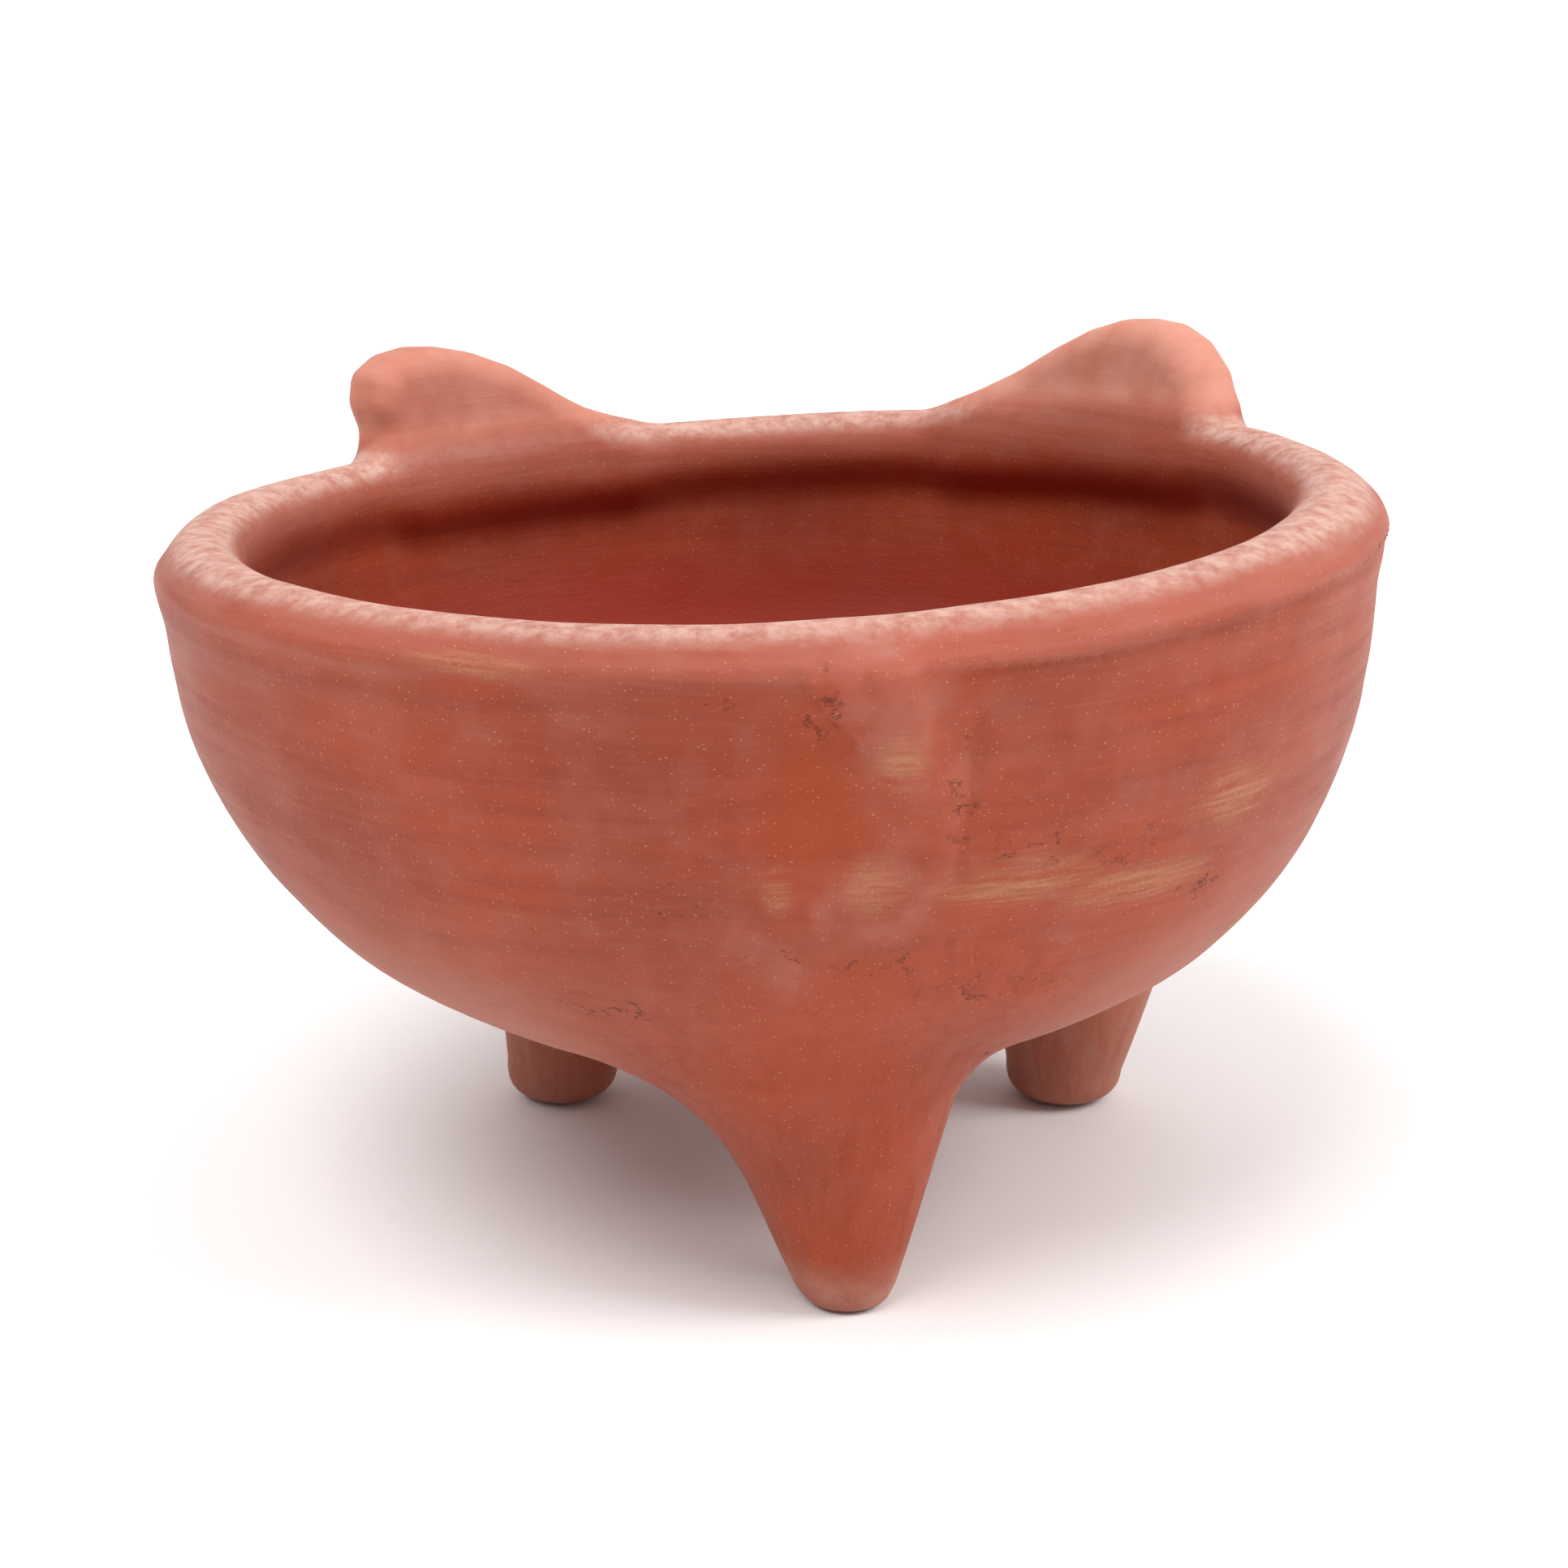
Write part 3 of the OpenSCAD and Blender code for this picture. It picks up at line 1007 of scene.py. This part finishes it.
def paint_amounts(p, out):
    """Every painted amount at points on the skin; out is the way out of the clay."""
    place = Place(p)
    up = out[:, 2]
    # The inner face of the bowl, which the clay material paints a darker, deeper red as painted shade.
    inside = ease(-(place.beyond), 2.0, 5.5) * ease(place.z, bottom_z + 6.0, bottom_z + 12.0)
    inside = np.where(read_table(inner_table, place.r, place.z) < 1.2, inside, 0.0)
    inside = inside * (1.0 - ease(place.above, -3.5, 0.0))
    on_rim = np.where(place.beyond > 0.0, rim_band(place), ease(place.above, -1.5, 1.0))
    # The crest gets pale dust and a painted highlight on its upward faces; towards the sides and the back
    # it reaches further down, as a painted sheen.
    side_sheen = ease(np.abs(place.arc), 45.0, 85.0)
    crest = ease(up, 0.72 - 0.3 * side_sheen, 1.0 - 0.15 * side_sheen) * ease(place.above, 1.5, 3.8)
    on_ear = ease(place.above, 4.0, 8.0)
    crest = crest * (1.0 - 0.7 * on_ear)
    low = (1.0 - ease(place.z, 30.0, 50.0)) * ease(np.abs(place.arc - 6.0), 22.0, 45.0)
    crack = np.max([spot(place, *belt) for belt in CRACK_BELTS], axis=0)
    rub = np.max([spot(place, *mark) for mark in RUB_MARKS], axis=0)
    outer_wall = ease(place.r, 20.0, 30.0) * (1.0 - inside)
    # The hollow beside the tail and the wall round the front leg's root are painted more orange: an orange
    # tone and painted shade there.
    beside_tail = spot(place, 4.0, 62.5, 7.5, 13.0)
    leg_root = 0.75 * spot(place, 7.0, 36.0, 24.0, 18.0)
    hollow = np.maximum(beside_tail, leg_root) * outer_wall
    # The tail's ridge is painted paler: pink bloom and a painted highlight along it.
    gap, _ = tail_distance(place)
    tail = (1.0 - ease(gap, 2.0, 7.0)) * outer_wall
    sole = (1.0 - ease(place.z, 1.5, 8.0)) * np.where(place.p[:, 1] < 0.0, 1.0, 0.35)
    # The ears are painted paler, peach bloom and painted light together; the right ear is painted paler
    # than the left as painted light on its face.
    ear = on_ear * np.where(place.p[:, 0] > 0.0, 1.0, 0.7)
    return {
        "inside": inside, "on_rim": on_rim * (1.0 - inside), "crest": crest, "low": low * outer_wall,
        "crack": crack * outer_wall, "rub": rub * outer_wall, "hollow": hollow, "tail": tail,
        "sole": sole, "ear": ear,
    }


# %% [markdown]
# ## The clay itself
# The clay is a red earthenware, rubbed with a pebble when it was leather-hard and fired low. Up close it
# has long faint burnish streaks, clouds that are pinker or more orange, pale sand grains under half a
# millimetre, and little dark cracks. The streaks run round the bowl, so their pattern is stretched round
# the axis, and on the legs it is stretched upwards.

# %% Clay colours
BODY_RED = (0.2784, 0.0505, 0.0226, 1)
BODY_DARK = (0.2044, 0.0331, 0.0157, 1)
BODY_ORANGE = (0.335, 0.0539, 0.0157, 1)
BLOOM_PINK = (0.3654, 0.1114, 0.0766, 1)
DUST_AND_PAINTED_LIGHT = (0.555, 0.37, 0.315, 1)
GRAIN = (0.522, 0.2436, 0.1392, 1)
RUB_TAN = (0.43, 0.185, 0.092, 1)
CRACK_RED = (0.1, 0.016, 0.007, 1)
EAR_BLOOM_AND_PAINTED_LIGHT = (0.56, 0.18, 0.11, 1)
SCUFF = (0.4, 0.17, 0.12, 1)
INSIDE_SHADE_RED = (0.235, 0.014, 0.004, 1)


def clay_material(name, crest_paling_amount, upright):
    """How much pale dust and painted highlight lies on the crest comes first; upright turns the burnish
    streaks from level to vertical.
    """
    material = bpy.data.materials.new(name)
    material.use_nodes = True
    recipe = Recipe(material.node_tree)
    shader = recipe.nodes["Principled BSDF"]
    metres = recipe.node("TexCoord").outputs["Object"]
    where = recipe.stretch(metres, (1000, 1000, 1000))
    x, y, z = recipe.parts(where)
    squares = recipe.math("ADD", recipe.times(x, x), recipe.times(y, y))
    radius = recipe.math("MAXIMUM", recipe.math("SQRT", squares), 8.0)
    round_bowl = recipe.node("CombineXYZ")
    for socket, side in zip(round_bowl.inputs, (x, y)):
        recipe.put(socket, recipe.math("DIVIDE", recipe.times(side, 62.0), radius))
    recipe.put(round_bowl.inputs[2], z)
    level = round_bowl.outputs[0]
    if upright:
        streaky = recipe.stretch(where, (1.0, 1.0, 0.16))
    else:
        streaky = recipe.stretch(level, (0.07, 0.07, 1.0))

    clouds = recipe.noise(where, 0.045, detail=3.0, rough=0.5)
    patches = recipe.noise(where, 0.16, detail=4.0, rough=0.6)
    streaks = recipe.noise(streaky, 0.55, detail=5.0, rough=0.62)
    fine_streaks = recipe.noise(streaky, 2.3, detail=3.0, rough=0.6)
    speckle = recipe.noise(where, 3.2, detail=2.0, rough=0.6)

    colour = recipe.mix(recipe.fade(clouds, 0.35, 0.65), BODY_RED, BODY_ORANGE)
    colour = recipe.mix(recipe.fade(streaks, 0.45, 0.75, 0.0, 0.6), colour, BODY_DARK)
    bloom = recipe.times(recipe.fade(patches, 0.45, 0.75), 0.4 if not upright else 0.2)
    colour = recipe.mix(bloom, colour, BLOOM_PINK)
    colour = recipe.mix(recipe.fade(fine_streaks, 0.55, 0.85, 0.0, 0.35), colour, BLOOM_PINK)
    colour = recipe.mix(recipe.fade(speckle, 0.56, 0.8, 0.0, 0.28), colour, BODY_DARK)
    # An orange tone with painted shade in the hollow beside the tail and round the front leg's root.
    hollow = recipe.painted("hollow")
    colour = recipe.mix(recipe.times(hollow, 0.75), colour, BODY_ORANGE)
    # Painted shade: the inside of the bowl is a darker, deeper red.
    inside = recipe.painted("inside")
    colour = recipe.mix(recipe.times(inside, 0.8), colour, INSIDE_SHADE_RED)

    low = recipe.times(recipe.painted("low"), recipe.fade(streaks, 0.35, 0.6, 0.3, 0.7))
    colour = recipe.mix(low, colour, SCUFF)
    # Pink bloom and a painted highlight along the tail's ridge.
    ridge_bloom_and_highlight = recipe.times(recipe.painted("tail"), recipe.fade(patches, 0.4, 0.6, 0.15, 0.6))
    colour = recipe.mix(ridge_bloom_and_highlight, colour, BLOOM_PINK)

    on_rim = recipe.painted("on_rim")
    band = recipe.times(on_rim, recipe.fade(streaks, 0.2, 0.6, 0.75, 0.25))
    colour = recipe.mix(band, colour, BLOOM_PINK)
    # Pale dust and a painted highlight on the rim's crest.
    crest = recipe.painted("crest")
    crest_patches = recipe.noise(where, 0.55, detail=6.0, rough=0.7)
    crest_paling = recipe.times(crest, recipe.fade(crest_patches, 0.38, 0.6, 0.3, 0.85 * crest_paling_amount), clamp=True)
    colour = recipe.mix(crest_paling, colour, DUST_AND_PAINTED_LIGHT)

    # Peach bloom and painted light on the ears, strongest on the right ear.
    ear = recipe.times(recipe.painted("ear"), recipe.fade(patches, 0.35, 0.65, 0.75, 1.0))
    colour = recipe.mix(ear, colour, EAR_BLOOM_AND_PAINTED_LIGHT)
    ear_painted_light = recipe.fade(recipe.painted("ear"), 0.4, 1.0)
    ear_bleach_and_painted_light = recipe.times(ear_painted_light, recipe.fade(patches, 0.3, 0.6, 0.1, 0.35))
    colour = recipe.mix(ear_bleach_and_painted_light, colour, DUST_AND_PAINTED_LIGHT)

    rub = recipe.painted("rub")
    scuffs = recipe.times(streaks, 0.4)
    scuffs = recipe.math("ADD", scuffs, recipe.times(fine_streaks, 0.4))
    scuffs = recipe.math("ADD", scuffs, recipe.times(speckle, 0.2))
    rubbed = recipe.times(rub, recipe.fade(scuffs, 0.42, 0.62, 0.0, 0.8), clamp=True)
    colour = recipe.mix(rubbed, colour, RUB_TAN)

    grains = recipe.cells(recipe.stretch(where, (1.0, 1.0, 1.35)), 2.1)
    sown = recipe.parts(grains["Color"])
    size = recipe.fade(sown[0], 0.25, 1.0, 0.0, 0.3)
    grain = recipe.math("LESS_THAN", grains["Distance"], size)
    grain = recipe.times(grain, recipe.fade(sown[1], 0.1, 1.0, 0.05, 0.55))
    grain = recipe.times(grain, recipe.fade(inside, 0.0, 1.0, 1.0, 0.3))
    colour = recipe.mix(grain, colour, GRAIN)

    drawn_out = recipe.stretch(level, (0.55, 0.55, 1.0))
    torn = recipe.noise(drawn_out, 0.42, detail=6.0, rough=0.68)
    broken = recipe.noise(where, 0.42, detail=3.0, rough=0.7)
    cracked = recipe.painted("crack")
    crack_here = recipe.times(cracked, recipe.fade(broken, 0.5, 0.62), clamp=True)
    off_line = recipe.math("ABSOLUTE", recipe.math("SUBTRACT", torn, 0.5))
    line = recipe.fade(off_line, 0.004, 0.016, 1.0, 0.0)
    pits = recipe.cells(recipe.stretch(level, (0.6, 0.6, 1.0)), 0.55)
    pit = recipe.fade(pits["Distance"], 0.1, 0.2, 1.0, 0.0)
    crack = recipe.times(recipe.math("MAXIMUM", line, pit), crack_here, clamp=True)
    colour = recipe.mix(recipe.times(crack, 0.8), colour, CRACK_RED)

    sole = recipe.painted("sole")
    scuffed = recipe.times(sole, recipe.fade(patches, 0.35, 0.6, 0.3, 1.0), clamp=True)
    colour = recipe.mix(scuffed, colour, SCUFF)
    recipe.put(shader.inputs["Base Color"], colour)

    polish = recipe.fade(streaks, 0.3, 0.7, 0.5, 0.62)
    dull = recipe.math("ADD", polish, recipe.times(crest, 0.15), clamp=True)
    recipe.put(shader.inputs["Roughness"], dull)
    shader.inputs["Specular IOR Level"].default_value = 0.2
    shader.inputs["Sheen Weight"].default_value = 0.06
    shader.inputs["Sheen Roughness"].default_value = 0.45
    shader.inputs["Sheen Tint"].default_value = (1.0, 0.86, 0.82, 1)

    relief = recipe.times(fine_streaks, 0.045)
    relief = recipe.math("ADD", relief, recipe.times(speckle, 0.03))
    relief = recipe.math("ADD", relief, recipe.times(grain, 0.03))
    relief = recipe.math("SUBTRACT", relief, recipe.times(crack, 0.3))
    bump = recipe.node("Bump")
    bump.inputs["Strength"].default_value = 0.8
    bump.inputs["Distance"].default_value = MM
    recipe.put(bump.inputs["Height"], relief)
    recipe.put(shader.inputs["Normal"], bump.outputs["Normal"])
    return material


# The rim's clay gets the most pale dust and painted highlight on its crest.
finishes = {
    "wall_clay": clay_material("burnished_wall_clay", crest_paling_amount=0.9, upright=False),
    "rim_clay": clay_material("rim_clay_dust_and_highlight", crest_paling_amount=1.0, upright=False),
    "leg_clay": clay_material("rubbed_leg_clay", crest_paling_amount=0.8, upright=True),
}

# %% [markdown]
# ## Making the pieces
# Each piece is cut from the clay inside its own box, meshed, settled and painted. It takes the place of
# the frame's node of the same name, and rides on the same body.

# %% From field to piece
def shape_piece(plan):
    """The numbers behind one piece: its points, faces and painted amounts."""
    _, field, _, lo, hi = plan
    points, faces = net(field, np.array(lo, float), np.array(hi, float))
    points, _ = settle(field, points, False, 2)
    points, out = settle(field, points, True, 2)
    out /= np.maximum(np.linalg.norm(out, axis=1, keepdims=True), 1e-6)
    return points, faces, paint_amounts(points, out)


def build_piece(plan, shape):
    """The finished piece, in place of the frame's node."""
    node, _, slot, _, _ = plan
    points, faces, amounts = shape
    mesh = bpy.data.meshes.new(node + "_clay")
    mesh.from_pydata((points * MM).tolist(), [], faces.tolist())
    for name, amount in amounts.items():
        layer = mesh.attributes.new(name, "FLOAT", "POINT")
        layer.data.foreach_set("value", amount.astype(np.float32))
    mesh.polygons.foreach_set("use_smooth", np.ones(len(faces), bool))
    mesh.materials.append(finishes[slot])
    piece = bpy.data.objects.new(node + "_clay", mesh)
    bpy.context.scene.collection.objects.link(piece)
    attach(piece, "root")
    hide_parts(node)
    print(f"{node}: {len(faces)} faces, {loose_edges(faces)} loose edges,",
          points.min(axis=0).round(2), points.max(axis=0).round(2))


# A plan is the node's name, the piece's field, its clay, and the box that it is cut from.
plans = []

# %% The bowl's coils
WIDE = wall_radius + 4.0
seam_1, seam_2, seam_3 = seam_heights


def plan_ring(node, lower, upper, bottom, top, slot, low, high):
    field = ring_field(lower, upper, low, high)
    plans.append((node, field, slot, (-WIDE, -WIDE - 1, bottom), (WIDE, WIDE, top)))


plan_ring("bowl_base", None, seam_1, bottom_z - 3, seam_1 + 7, "wall_clay", True, False)
plan_ring("lower_wall_coil", seam_1, seam_2, seam_1 - 4, seam_2 + 7, "wall_clay", True, False)
plan_ring("middle_wall_coil", seam_2, seam_3, seam_2 - 4, seam_3 + 7, "wall_clay", True, False)
plan_ring("upper_wall_coil", seam_3, "rim", seam_3 - 4, rim_z + 8, "wall_clay", False, True)
plan_ring("rim_coil", "rim", None, rim_z - 14, rim_z + 14, "rim_clay", False, True)

# %% The tail
front = -wall_radius
plans.append(("tail_strip", tail_field, "wall_clay", (-12, front - 6, 36), (26, front + 18, 84)))

# %% The legs and their collars
for leg in legs:
    reach = leg.pad_radius + 5
    lo = np.minimum(leg.foot - leg.foot_radius, leg.root - leg.root_radius) - 3
    hi = np.maximum(leg.foot + leg.foot_radius, leg.root + leg.root_radius) + 3
    plans.append((leg.name, leg_field(leg), "leg_clay", (lo[0], lo[1], -3), (hi[0], hi[1], hi[2])))
    plans.append((leg.name + "_collar", collar_field(leg), "leg_clay", leg.pad - reach, leg.pad + reach))

# %% The ears and their wads
for ear in ears:
    ear_lo, ear_hi = node_box(ear.name + "_wad")
    lo = ear_lo - (9, 9, 8)
    hi = ear_hi + (9, 9, 18)
    plans.append((ear.name + "_wad", wad_field(ear), "rim_clay", lo, hi))
    plans.append((ear.name, ear_field(ear), "rim_clay", lo, hi))

# %% Shape them side by side, then build them in order
with ThreadPoolExecutor(4) as hands:
    shapes = list(hands.map(shape_piece, plans))
print("shaped", len(shapes), "pieces")
for plan, shape in zip(plans, shapes):
    build_piece(plan, shape)
